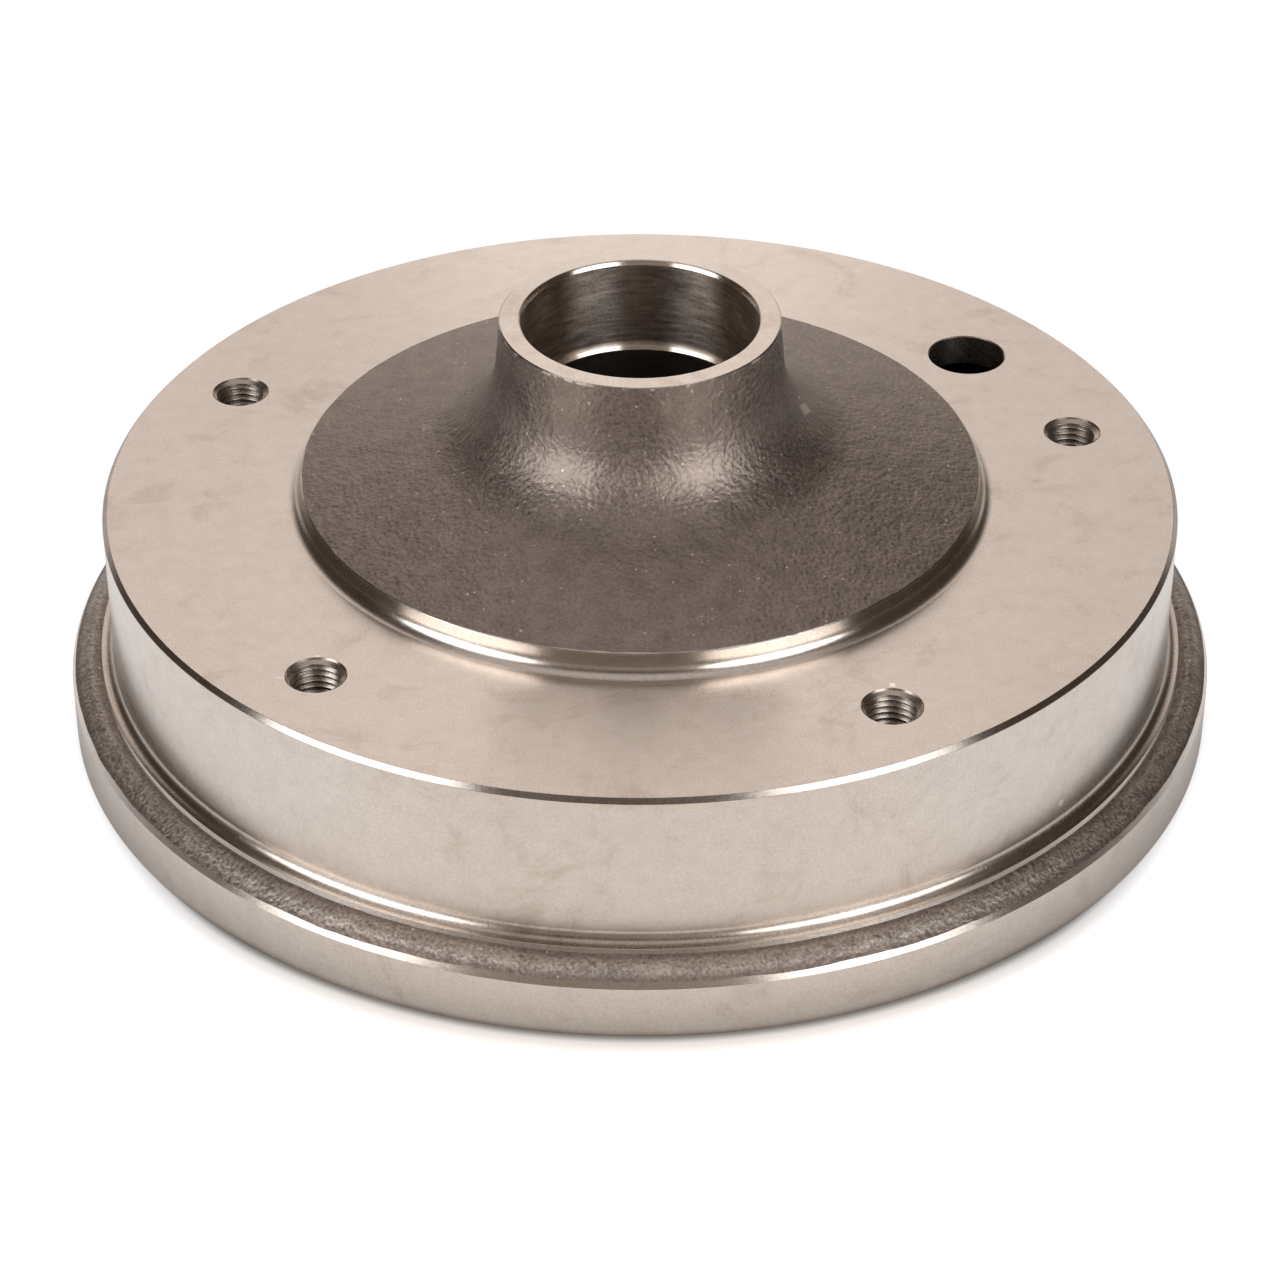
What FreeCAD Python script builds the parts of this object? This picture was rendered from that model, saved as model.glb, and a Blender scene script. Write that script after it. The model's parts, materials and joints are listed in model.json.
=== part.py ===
import FreeCAD
import Part
import math
import os

# Front brake drum with its hub in one grey-iron casting, turned on its outside,
# its wheel face, its bores and its friction surface.
# Millimetres. The axle is +Z, the open rim stands on z = 0 and the hub nose points up.

# Heights
face_height = 53.0  # open rim to wheel face
nose_height = 42.6  # wheel face to hub nose

# Drum barrel
friction_diameter = 230.0
barrel_wall = 6.0
web_thickness = 7.6
face_edge_chamfer = 1.0
friction_lead_in = 1.0
web_corner_bevel = 2.0  # cast corner between the web and the friction surface

# Flange round the open rim
flange_height = 12.5  # turned outer wall and the chamfer's foot
flange_reach = 9.9  # how far it stands out of the barrel
flange_chamfer = 1.3
rim_edge_break = 0.3
land_height = 17.5  # turned ring at the foot of the barrel
land_corner = 1.3  # bevel between the barrel and that ring
land_width = 1.0
land_bevel = 1.0  # bevel from that ring down to the cast ledge
ledge_fall = 0.6  # slight fall of the ledge before it slopes down to the chamfer
ledge_shoulder = 2.6  # radial width of that slope

# Rebate in the open rim for the edge of the backing plate
rebate_wall = 6.4
rebate_depth = 3.0

# Cast cone and neck of the hub
nose_radius = 31.1
neck_draft = 4.5  # degrees
neck_blend = 21.0
cone_slope = 16.0  # degrees
foot_radius = 76.2
foot_height = 5.0  # cone's edge above the wheel face
foot_edge_bevel = 0.3
foot_draft = 2.0  # degrees, on the turned wall under the cone's edge
foot_corner = 1.5  # bevel between that wall and the wheel face

# Inner side of the cone and the hub's tube
cone_inner_radius = 80.0  # where the web starts to rise under the cone
cone_inner_slope = 21.0  # degrees
tube_radius = 40.0
tube_end_height = 4.0  # hub's inner end above the open rim
tube_straight = 27.0
tube_taper_run = 13.0
tube_waist = 3.5  # how much narrower the tube gets towards the web
tube_root_bevel = 5.0  # cast corner between the tube and the cone's inner side
tube_end_chamfer = 1.0

# Bores from the nose
cap_bore_diameter = 52.0
cap_bore_depth = 20.8
cap_bore_chamfer = 0.85
outer_seat_diameter = 50.0
outer_seat_length = 15.0
outer_shoulder_diameter = 43.0
outer_shoulder_width = 4.0

# Bores from the inner end
seal_seat_diameter = 68.0
seal_seat_depth = 8.0
inner_seat_diameter = 62.0
inner_seat_length = 17.0
inner_shoulder_diameter = 54.0
inner_shoulder_width = 4.0
cavity_diameter = 50.0  # cast grease space between the two seats
cavity_bevel = 2.0
bore_edge = 0.6  # bevel at the mouths of the seats

# Wheel-bolt holes, drilled for M12 x 1.5
bolt_circle = 205.0
bolt_count = 5
bolt_turn = 12.6  # degrees from +X to the first hole
tap_drill = 10.5
countersink_diameter = 13.2
boss_radius = 11.0
boss_height = 4.5
boss_edge = 1.0
thread_bevel = 0.8  # at the far end of the thread

# Hole through the web for reaching the brake adjusters
access_diameter = 18.0
access_circle = 195.1
access_turn = 36.7  # degrees from +X

over = 1.0  # how far a cutting tool runs past a face

barrel_radius = friction_diameter / 2 + barrel_wall
flange_radius = barrel_radius + flange_reach
web_underside = face_height - web_thickness
nose_top = face_height + nose_height


def slope(degrees):
    """Rise over run of an angle."""
    return math.tan(math.radians(degrees))


def rounded_wire(corners):
    """Closed outline in the X-Z plane through (radius, height, rounding) corners."""
    count = len(corners)
    points = [FreeCAD.Vector(r, 0, z) for r, z, rounding in corners]
    starts = []
    edges = []
    for i in range(count):
        here = points[i]
        back = points[i - 1] - here
        ahead = points[(i + 1) % count] - here
        rounding = corners[i][2]
        turn = math.pi - back.getAngle(ahead)
        if rounding == 0 or turn < 0.001:
            starts.append((here, here, here))
            continue
        # A rounding takes at most 0.45 of the shorter side that it sits on.
        room = 0.45 * min(back.Length, ahead.Length)
        reach = min(rounding * math.tan(turn / 2), room)
        radius = reach / math.tan(turn / 2)
        inward = (back.normalize() + ahead.normalize()).normalize()
        middle = here + inward * (radius / math.cos(turn / 2) - radius)
        starts.append((here + back * reach, middle, here + ahead * reach))
    for i in range(count):
        begin, middle, end = starts[i]
        following = starts[(i + 1) % count][0]
        if begin.distanceToPoint(end) > 0:
            edges.append(Part.Arc(begin, middle, end).toShape())
        edges.append(Part.makeLine(end, following))
    return Part.Wire(edges)


def outer_corners():
    """Nose, neck, cone, wheel face, barrel and flange, from the cap bore to the open rim."""
    cap_radius = cap_bore_diameter / 2
    foot_top = face_height + foot_height
    foot_wall_top = foot_top - foot_edge_bevel
    foot_wall_bottom = face_height + foot_corner
    foot_wall_start = foot_radius + foot_edge_bevel
    foot_wall_end = foot_wall_start + (foot_wall_top - foot_wall_bottom) * slope(foot_draft)
    # The neck's line and the cone's line meet where both give the same height.
    drop = nose_top - foot_top - foot_radius * slope(cone_slope) + nose_radius * slope(cone_slope)
    meet_drop = drop / (1 - slope(neck_draft) * slope(cone_slope))
    meet_radius = nose_radius + meet_drop * slope(neck_draft)
    land_start = barrel_radius + land_corner
    land_end = land_start + land_width
    ledge_top = land_height - land_bevel
    chamfer_start = flange_radius - flange_chamfer
    return [
        (cap_radius, nose_top - cap_bore_chamfer, 0),
        (cap_radius + cap_bore_chamfer, nose_top, 0),
        (nose_radius, nose_top, 0),
        (meet_radius, nose_top - meet_drop, neck_blend),
        (foot_radius, foot_top, 0),
        (foot_wall_start, foot_wall_top, 0),
        (foot_wall_end, foot_wall_bottom, 0),
        (foot_wall_end + foot_corner, face_height, 0),
        (barrel_radius - face_edge_chamfer, face_height, 0),
        (barrel_radius, face_height - face_edge_chamfer, 0),
        (barrel_radius, land_height + land_corner, 0),
        (land_start, land_height, 0),
        (land_end, land_height, 0),
        (land_end + land_bevel, ledge_top, 0),
        (chamfer_start - ledge_shoulder, ledge_top - ledge_fall, 0),
        (chamfer_start, flange_height + flange_chamfer, 0),
        (flange_radius, flange_height, 0),
        (flange_radius, rim_edge_break, 0),
        (flange_radius - rim_edge_break, 0, 0),
    ]


def inner_corners():
    """Rebate, friction surface, web and hub tube, from the open rim to the hub's inner end."""
    friction_radius = friction_diameter / 2
    rebate_radius = flange_radius - rebate_wall
    waist_radius = tube_radius - tube_waist
    root_height = web_underside + (cone_inner_radius - waist_radius) * slope(cone_inner_slope)
    straight_top = tube_end_height + tube_straight
    return [
        (rebate_radius, 0, 0),
        (rebate_radius, rebate_depth, 0),
        (friction_radius + friction_lead_in, rebate_depth, 0),
        (friction_radius, rebate_depth + friction_lead_in, 0),
        (friction_radius, web_underside - web_corner_bevel, 0),
        (friction_radius - web_corner_bevel, web_underside, 0),
        (cone_inner_radius, web_underside, 0),
        (waist_radius + tube_root_bevel, root_height - tube_root_bevel * slope(cone_inner_slope), 0),
        (waist_radius, root_height - tube_root_bevel, 0),
        (waist_radius, straight_top + tube_taper_run, 0),
        (tube_radius, straight_top, 0),
        (tube_radius, tube_end_height + tube_end_chamfer, 0),
        (tube_radius - tube_end_chamfer, tube_end_height, 0),
    ]


def bore_corners():
    """Seal seat, inner bearing seat, grease space and outer bearing seat, from the inner end up."""
    seal_radius = seal_seat_diameter / 2
    inner_radius = inner_seat_diameter / 2
    inner_land = inner_shoulder_diameter / 2
    cavity_radius = cavity_diameter / 2
    outer_land = outer_shoulder_diameter / 2
    outer_radius = outer_seat_diameter / 2
    cap_radius = cap_bore_diameter / 2
    seal_top = tube_end_height + seal_seat_depth
    inner_top = seal_top + inner_seat_length
    land_top = inner_top + inner_shoulder_width
    cap_floor = nose_top - cap_bore_depth
    outer_top = cap_floor - (cap_radius - outer_radius)
    outer_bottom = outer_top - outer_seat_length
    outer_land_bottom = outer_bottom - outer_shoulder_width
    return [
        (seal_radius + bore_edge, tube_end_height, 0),
        (seal_radius, tube_end_height + bore_edge, 0),
        (seal_radius, seal_top, 0),
        (inner_radius + bore_edge, seal_top, 0),
        (inner_radius, seal_top + bore_edge, 0),
        (inner_radius, inner_top, 0),
        (inner_land, inner_top, 0),
        (inner_land, land_top, 0),
        (cavity_radius, land_top + cavity_bevel, 0),
        (cavity_radius, outer_land_bottom - cavity_bevel, 0),
        (outer_land, outer_land_bottom, 0),
        (outer_land, outer_bottom, 0),
        (outer_radius, outer_bottom, 0),
        (outer_radius, outer_top, 0),
        (cap_radius, cap_floor, 0),
    ]


def around(radius, degrees, height):
    """Point on a circle round the axle."""
    angle = math.radians(degrees)
    return FreeCAD.Vector(radius * math.cos(angle), radius * math.sin(angle), height)


def casting():
    """The turned and cast form, one outline revolved about the axle."""
    outline = Part.Face(rounded_wire(outer_corners() + inner_corners() + bore_corners()))
    return outline.revolve(FreeCAD.Vector(0, 0, 0), FreeCAD.Vector(0, 0, 1), 360)


def boss(place):
    """Cast pad under the web that gives a wheel bolt its length of thread."""
    foot = FreeCAD.Vector(place.x, place.y, web_underside + over)
    pad = Part.makeCylinder(boss_radius, boss_height - boss_edge + over, foot, FreeCAD.Vector(0, 0, -1))
    edge_top = FreeCAD.Vector(place.x, place.y, web_underside - boss_height + boss_edge)
    edge = Part.makeCone(boss_radius, boss_radius - boss_edge, boss_edge, edge_top, FreeCAD.Vector(0, 0, -1))
    return pad.fuse(edge)


def bolt_hole(place):
    """Tapping-size hole with a countersunk mouth and a bevelled far end."""
    up = FreeCAD.Vector(0, 0, 1)
    drill_radius = tap_drill / 2
    mouth_radius = countersink_diameter / 2
    far_end = web_underside - boss_height
    start = FreeCAD.Vector(place.x, place.y, far_end - over)
    drill = Part.makeCylinder(drill_radius, face_height - far_end + 2 * over, start, up)
    sink_depth = mouth_radius - drill_radius
    sink_start = FreeCAD.Vector(place.x, place.y, face_height - sink_depth)
    sink = Part.makeCone(drill_radius, mouth_radius + over, sink_depth + over, sink_start, up)
    bevel_run = thread_bevel + over
    far_bevel = Part.makeCone(drill_radius + bevel_run, drill_radius, bevel_run, start, up)
    return drill.fuse([sink, far_bevel])


def brake_drum():
    """Casting with its bosses, tapped holes and access hole."""
    places = [around(bolt_circle / 2, bolt_turn + 360 * i / bolt_count, 0) for i in range(bolt_count)]
    drum = casting().fuse([boss(place) for place in places])
    access_foot = around(access_circle / 2, access_turn, web_underside - over)
    access = Part.makeCylinder(access_diameter / 2, web_thickness + 2 * over, access_foot)
    return drum.cut([bolt_hole(place) for place in places] + [access]).removeSplitter()


os.makedirs("parts", exist_ok=True)
drum = brake_drum()
drum.exportStep("parts/brake_drum.step")
box = drum.optimalBoundingBox(True, False)
print("solids", len(drum.Solids), "valid", drum.isValid(), "volume cm3", round(drum.Volume / 1000, 2))
print("size", round(box.XLength, 2), round(box.YLength, 2), round(box.ZLength, 2))
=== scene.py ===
# %% [markdown]
# # A brake drum with its hub, dressed in bare iron
#
# The real thing is one grey-iron casting. A lathe has turned its nose, wheel face, barrel and flange,
# bored its hub and its friction surface, and left the cone, the neck and one ledge as they came from
# the sand. Five tapped holes take the wheel bolts and one plain hole gives access to the adjusters.
# This lesson rebuilds its skin in Blender, finer than the engineering solid, in the solid's own place.

import json
import math

import bmesh
import bpy
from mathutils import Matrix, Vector


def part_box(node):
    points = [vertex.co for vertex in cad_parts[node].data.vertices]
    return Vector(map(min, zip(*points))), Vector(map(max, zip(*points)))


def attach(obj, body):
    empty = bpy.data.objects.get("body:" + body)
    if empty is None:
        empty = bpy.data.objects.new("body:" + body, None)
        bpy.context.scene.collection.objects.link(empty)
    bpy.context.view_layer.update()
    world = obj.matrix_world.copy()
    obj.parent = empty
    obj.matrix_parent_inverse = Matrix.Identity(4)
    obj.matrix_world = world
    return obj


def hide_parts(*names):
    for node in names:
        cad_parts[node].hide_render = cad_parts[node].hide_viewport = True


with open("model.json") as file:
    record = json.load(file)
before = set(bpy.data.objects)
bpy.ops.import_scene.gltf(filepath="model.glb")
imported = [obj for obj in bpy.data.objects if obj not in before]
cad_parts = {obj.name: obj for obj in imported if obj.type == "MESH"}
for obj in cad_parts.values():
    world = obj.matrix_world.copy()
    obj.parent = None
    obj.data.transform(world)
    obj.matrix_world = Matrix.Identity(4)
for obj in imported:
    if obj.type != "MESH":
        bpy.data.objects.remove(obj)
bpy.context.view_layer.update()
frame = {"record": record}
MM = 0.001
mounts = {mount["name"]: mount for mount in frame["record"]["mounts"]}


# %% [markdown]
# ## Sizes
#
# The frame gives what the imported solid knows: its height and radius, the wheel face and the bores. The
# rest of the section is named where it is drawn. A turned part is read in millimetres, so the section
# is drawn in millimetres too and turned to metres only where the mesh is made.

# %% Sizes taken from the frame
top_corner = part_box("brake_drum")[1]
nose_top = top_corner[2] / MM
flange_radius = top_corner[0] / MM
face_height = mounts["wheel_face"]["pos_m"][2] / MM
round_mounts = ("cap_bore", "outer_bearing_seat", "inner_bearing_seat", "seal_seat", "friction_surface",
                "access_hole")
cap_bore, outer_seat, inner_seat, seal_seat, friction_radius, access_radius = [
    mounts[name]["dims"]["r_mm"] for name in round_mounts]
bolt_circle = mounts["wheel_bolts"]["dims"]["pcd_mm"] / 2
bolt_count = mounts["wheel_bolts"]["dims"]["count"]
print("wheel face at", round(face_height, 2), "mm, nose at", round(nose_top, 2), "mm")

# %% [markdown]
# ## The outer side of the section
#
# Everything round on the drum comes from one outline, as on the lathe. It could be a traced curve, but
# a short list of corners says more: each corner has its radius and height, the rounding that the tool
# or the sand left there, and the finish of the side that follows it. A turned corner is never razor
# sharp, so it gets a tiny edge break that catches the light. The larger edges are as wide and as steep
# as their highlights ask, because on bright metal an edge is seen only by what it mirrors.

# %% Sizes of the outer side, in millimetres and degrees
tool_break = 0.12
cap_edge_width = 0.6
cap_edge_depth = 1.05
cap_edge_round = 0.6
nose_radius = 31.1
neck_draft = 4.5
neck_blend = 21.0
cone_slope = 16.0
foot_radius = 76.2
foot_height = 5.0
foot_edge = 0.3
foot_draft = 2.0
foot_fillet = 3.2
face_edge = 1.0
barrel_wall = 6.0
land_height = 17.5
land_corner = 1.3
land_fillet = 2.4
land_width = 1.65
land_edge_width = 0.4
land_edge_depth = 1.0
ledge_fall = 0.7
ledge_shoulder = 3.0
ledge_round = 5.0
flange_height = 12.5
flange_edge_width = 0.75
flange_edge_depth = 1.3
rim_edge = 0.3


def slope(degrees):
    """Rise over run of an angle."""
    return math.tan(math.radians(degrees))


barrel_radius = friction_radius + barrel_wall
foot_top = face_height + foot_height
foot_wall_top = foot_top - foot_edge
foot_wall_start = foot_radius + foot_edge
foot_wall_end = foot_wall_start + (foot_wall_top - face_height) * slope(foot_draft)
cone_drop = nose_top - foot_top - (foot_radius - nose_radius) * slope(cone_slope)
neck_drop = cone_drop / (1 - slope(neck_draft) * slope(cone_slope))
neck_foot = nose_radius + neck_drop * slope(neck_draft)
land_start = barrel_radius + land_corner
ledge_start = land_start + land_width + land_edge_width
ledge_top = land_height - land_edge_depth
flange_edge_start = flange_radius - flange_edge_width
print("barrel", 2 * barrel_radius, "mm across, flange", round(2 * flange_radius, 1), "mm")

# %% Corners of the outer side, clockwise from the mouth of the cap bore
TURNED, COARSE, BORED, HONED, CAST = range(5)
outer_side = [
    (cap_bore, nose_top - cap_edge_depth, cap_edge_round, TURNED),
    (cap_bore + cap_edge_width, nose_top, cap_edge_round, TURNED),
    (nose_radius, nose_top, 2 * tool_break, CAST),
    (neck_foot, nose_top - neck_drop, neck_blend, CAST),
    (foot_radius, foot_top, tool_break, TURNED),
    (foot_wall_start, foot_wall_top, tool_break, TURNED),
    (foot_wall_end, face_height, foot_fillet, TURNED),
    (barrel_radius - face_edge, face_height, tool_break, TURNED),
    (barrel_radius, face_height - face_edge, tool_break, TURNED),
    (barrel_radius, land_height, land_fillet, COARSE),
    (land_start + land_width, land_height, tool_break, TURNED),
    (ledge_start, ledge_top, 0, CAST),
    (flange_edge_start - ledge_shoulder, ledge_top - ledge_fall, ledge_round, CAST),
    (flange_edge_start, flange_height + flange_edge_depth, 0, TURNED),
    (flange_radius, flange_height, tool_break, TURNED),
    (flange_radius, rim_edge, 0, TURNED),
    (flange_radius - rim_edge, 0, 0, TURNED),
]
print(len(outer_side), "corners outside")

# %% [markdown]
# ## The inner side and the bores
#
# Inside, the shoes rub on a honed wall, and the web, the cone's back and the hub's tube stay as cast.
# The tube is bored from its inner end for a shaft seal and the inner bearing, and from the nose for
# the outer bearing and the grease cap. Each race stops against a shoulder, with a cast grease space
# between the two. The list of corners goes on from the rim round to the mouth of the cap bore.

# %% Sizes of the inner side and the bores, in millimetres and degrees
rebate_wall = 6.4
rebate_depth = 3.0
friction_edge = 1.0
web_thickness = 7.6
web_corner = 3.0
cone_inner_radius = 80.0
cone_inner_slope = 21.0
cone_inner_round = 8.0
tube_radius = 40.0
tube_end = 4.0
tube_edge = 1.0
tube_taper_low = 31.0
tube_taper_high = 44.0
tube_waist_radius = 36.5
bore_edge = 0.6
seal_seat_depth = 8.0
inner_seat_length = 17.0
inner_shoulder = 27.0
shoulder_width = 4.0
cavity_radius = 25.0
cavity_bevel = 2.0
outer_shoulder = 21.5
outer_seat_length = 15.0
cap_bore_depth = 20.8
cap_floor_fillet = 2.5
seat_mouth_rise = 1.5

rebate_radius = flange_radius - rebate_wall
web_underside = face_height - web_thickness
tube_root = web_underside + (cone_inner_radius - tube_waist_radius) * slope(cone_inner_slope)
cap_floor = nose_top - cap_bore_depth
outer_seat_top = cap_floor - seat_mouth_rise * (cap_bore - outer_seat)
outer_seat_floor = outer_seat_top - outer_seat_length
seal_top = tube_end + seal_seat_depth
inner_seat_top = seal_top + inner_seat_length
print("web", web_thickness, "mm thick, cap bore down to", round(cap_floor, 2), "mm")

# %% Corners of the inner side and the bores
inner_side = [
    (rebate_radius, 0, tool_break, TURNED),
    (rebate_radius, rebate_depth, tool_break, TURNED),
    (friction_radius + friction_edge, rebate_depth, tool_break, TURNED),
    (friction_radius, rebate_depth + friction_edge, tool_break, HONED),
    (friction_radius, web_underside, web_corner, CAST),
    (cone_inner_radius, web_underside, cone_inner_round, CAST),
    (tube_waist_radius, tube_root, cone_inner_round, CAST),
    (tube_waist_radius, tube_taper_high, cone_inner_round, CAST),
    (tube_radius, tube_taper_low, cone_inner_round, CAST),
    (tube_radius, tube_end + tube_edge, tool_break, TURNED),
    (tube_radius - tube_edge, tube_end, tool_break, TURNED),
]
inner_bores = [
    (seal_seat + bore_edge, tube_end, tool_break, BORED),
    (seal_seat, tube_end + bore_edge, tool_break, BORED),
    (seal_seat, seal_top, 0, BORED),
    (inner_seat + bore_edge, seal_top, tool_break, BORED),
    (inner_seat, seal_top + bore_edge, tool_break, BORED),
    (inner_seat, inner_seat_top, 0, BORED),
    (inner_shoulder, inner_seat_top, tool_break, BORED),
    (inner_shoulder, inner_seat_top + shoulder_width, tool_break, CAST),
    (cavity_radius, inner_seat_top + shoulder_width + cavity_bevel, cavity_bevel, CAST),
    (cavity_radius, outer_seat_floor - shoulder_width - cavity_bevel, cavity_bevel, CAST),
    (outer_shoulder, outer_seat_floor - shoulder_width, tool_break, BORED),
    (outer_shoulder, outer_seat_floor, tool_break, BORED),
    (outer_seat, outer_seat_floor, 0, HONED),
    (outer_seat, outer_seat_top, tool_break, TURNED),
    (cap_bore, cap_floor, cap_floor_fillet, BORED),
]
corners = outer_side + inner_side + inner_bores
print(len(corners), "corners in the section")

# %% [markdown]
# ## From corners to points
#
# A rounding becomes a short arc between the two sides that it touches. It may use up most of a side
# whose other end is sharp, but under half of one whose other end is rounded too. The sides that stay as
# cast are cut into short steps, finer outside than inside, because the next cell lets their surface
# wander.

# %% Rounded outline of the section
arc_degrees = 9.0
fine_step = 1.6
coarse_step = 4.0
small_rounding = 0.5
nearly_straight = 0.001
room_alone = 0.95
room_shared = 0.45


def rounding_points(before, here, after, rounding, room):
    """Points of the arc that rounds one corner, or the corner itself."""
    back = (before - here).normalized()
    ahead = (after - here).normalized()
    turn = math.pi - back.angle(ahead)
    if rounding == 0 or turn < nearly_straight:
        return [here]
    reach = min(rounding * math.tan(turn / 2), room)
    radius = reach / math.tan(turn / 2)
    centre = here + (back + ahead).normalized() * (radius / math.cos(turn / 2))
    steps = 1 if rounding < small_rounding else math.ceil(math.degrees(turn) / arc_degrees)
    start = here + back * reach - centre
    side = 1 if start.cross(here + ahead * reach - centre) > 0 else -1
    points = []
    for i in range(steps + 1):
        angle = side * turn * i / steps
        across = Vector((-start.y, start.x))
        points.append(centre + start * math.cos(angle) + across * math.sin(angle))
    return points


def outline(corners):
    """Points of the rounded section, each with the finish of the side that follows it."""
    places = [Vector(corner[:2]) for corner in corners]
    arcs = []
    for i, corner in enumerate(corners):
        after = (i + 1) % len(corners)
        room = []
        for beside in (i - 1, after):
            most = room_alone if corners[beside][2] < small_rounding else room_shared
            room.append(most * (places[beside] - places[i]).length)
        arcs.append(rounding_points(places[i - 1], places[i], places[after], corner[2], min(room)))
    points = []
    finishes = []
    for i, arc in enumerate(arcs):
        rounding, finish = corners[i][2:]
        arc_finish = min(finish, corners[i - 1][3]) if rounding < small_rounding else finish
        points += arc
        finishes += [arc_finish] * (len(arc) - 1) + [finish]
        if finish == CAST:
            run = arcs[(i + 1) % len(arcs)][0] - arc[-1]
            step = fine_step if i < len(outer_side) else coarse_step
            cuts = math.ceil(run.length / step)
            points += [arc[-1] + run * k / cuts for k in range(1, cuts)]
            finishes += [CAST] * (cuts - 1)
    return points, finishes


section_points, section_finishes = outline(corners)
count = len(section_points)
print(count, "points in the rounded section,", section_finishes.count(CAST), "sides as cast")

# %% [markdown]
# ## Where the cast skin may go
#
# A cast surface is never true. Each point gets a vector that says where it goes when the skin rises by
# one: a point inside a cast side moves square to it, a turned point stays, and a point on the border of
# the two slides along the turned side, which is how a real border between sand-cast and cut iron turns
# wavy.

# %% The section as a closed chain of edges
most_slide = 2.5
rail_radius = 100.0


def wander_vector(i):
    """Where one point of the section goes when the cast skin there rises by one."""
    here = section_points[i]
    along_before = (here - section_points[i - 1]).normalized()
    along_after = (section_points[(i + 1) % count] - here).normalized()
    cast_before = section_finishes[i - 1] == CAST
    cast_after = section_finishes[i] == CAST
    if not cast_before and not cast_after:
        return Vector((0, 0))
    if cast_before and cast_after:
        along = (along_before + along_after).normalized()
        return Vector((-along.y, along.x))
    cast, cut = (along_before, along_after) if cast_before else (along_after, along_before)
    rise = cut.dot(Vector((-cast.y, cast.x)))
    return cut * max(-most_slide, min(most_slide, 1 / rise))


def section_mesh():
    """The section laid flat, x out from the rail and y down, with finishes on edges and wander on points."""
    mesh = bpy.data.meshes.new("drum_section")
    flat = [((point.x - rail_radius) * MM, -point.y * MM, 0) for point in section_points]
    mesh.from_pydata(flat, [(i, (i + 1) % count) for i in range(count)], [])
    finish = mesh.attributes.new("finish", "INT", "EDGE")
    finish.data.foreach_set("value", section_finishes)
    wander = [wander_vector(i) for i in range(count)]
    give = mesh.attributes.new("wander", "FLOAT_VECTOR", "POINT")
    give.data.foreach_set("vector", [value for step in wander for value in (step.x, 0, step.y)])
    return mesh


casting = bpy.data.objects.new("turned_casting", section_mesh())
bpy.context.scene.collection.objects.link(casting)
print("section mesh has", len(casting.data.edges), "edges")

# %% [markdown]
# ## Tools for the holes
#
# A hole could be a ring of faces knitted into the wheel face by hand. It is simpler to do what the
# workshop does and cut it, so each tool here is a closed solid that the node tree subtracts. A boss
# behind each bolt hole gives the thread its length. It is made the same way, and joined on.

# %% Small turned solids: boss, countersink, far bevel and drill
TAPPED, DRILLED = 5, 6
tool_steps = 48
over = 1.0
boss_radius = 11.0
boss_height = 4.5
boss_edge = 1.0
thread_minor = 5.19
countersink = 6.6
countersink_lip = 0.35
countersink_slope = 30.0
far_bevel = 0.8
access_edge = 0.25


def close_ring(bm, upper, lower):
    """Faces between two rings, either of which may be a single point."""
    for i in range(tool_steps):
        j = (i + 1) % tool_steps
        ring = [upper[i % len(upper)], lower[i % len(lower)], lower[j % len(lower)], upper[j % len(upper)]]
        bm.faces.new(list(dict.fromkeys(ring)))


def tool_object(name, bm, finish):
    """A tool from a mesh whose faces all have one finish, kept out of the scene."""
    bmesh.ops.recalc_face_normals(bm, faces=bm.faces)
    mesh = bpy.data.meshes.new(name)
    bm.to_mesh(mesh)
    bm.free()
    mesh.attributes.new("finish", "INT", "FACE").data.foreach_set("value", [finish] * len(mesh.polygons))
    return bpy.data.objects.new(name, mesh)


def turned_solid(name, section, finish):
    """Solid of revolution whose section runs from the axis at the top to the axis at the bottom."""
    bm = bmesh.new()
    rings = []
    for radius, height in section:
        steps = tool_steps if radius else 1
        angles = [2 * math.pi * i / steps for i in range(steps)]
        rings.append([bm.verts.new((radius * math.cos(a) * MM, radius * math.sin(a) * MM, height * MM))
                      for a in angles])
    for upper, lower in zip(rings, rings[1:]):
        close_ring(bm, upper, lower)
    return tool_object(name, bm, finish)


above_face = face_height + over
boss_bottom = web_underside - boss_height
boss = turned_solid("boss", [
    (0, web_underside + over), (boss_radius, web_underside + over), (boss_radius, boss_bottom + boss_edge),
    (boss_radius - boss_edge, boss_bottom), (0, boss_bottom)], CAST)
lip_radius = countersink - countersink_lip
mouth_floor = face_height - countersink_lip - (lip_radius - thread_minor + over) * slope(countersink_slope)
mouth = turned_solid("countersink_tool", [
    (0, above_face), (countersink + over, above_face), (lip_radius, face_height - countersink_lip),
    (thread_minor - over, mouth_floor), (0, mouth_floor)], DRILLED)
far_mouth = turned_solid("far_bevel_tool", [
    (0, boss_bottom + far_bevel + over), (thread_minor - over, boss_bottom + far_bevel + over),
    (thread_minor + far_bevel + over, boss_bottom - over), (0, boss_bottom - over)], DRILLED)
access_wide = access_radius + access_edge + over
access_drill = turned_solid("access_drill", [
    (0, above_face), (access_wide, above_face), (access_radius, face_height - access_edge),
    (access_radius, web_underside + access_edge), (access_wide, web_underside - over),
    (0, web_underside - over)], DRILLED)
print("tools", [tool.name for tool in (boss, mouth, far_mouth, access_drill)])

# %% [markdown]
# ## The tap
#
# The bolts are M12 with a 1.5 mm pitch, and the photo looks into four of the threads. Stacked rings
# would look right from afar, but a close look finds that they don't climb. So the tap is a plug whose
# rows of points climb by one pitch a turn. Its flanks follow a true helix, and the thread that it
# leaves runs out at both ends as a cut one does.

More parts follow.
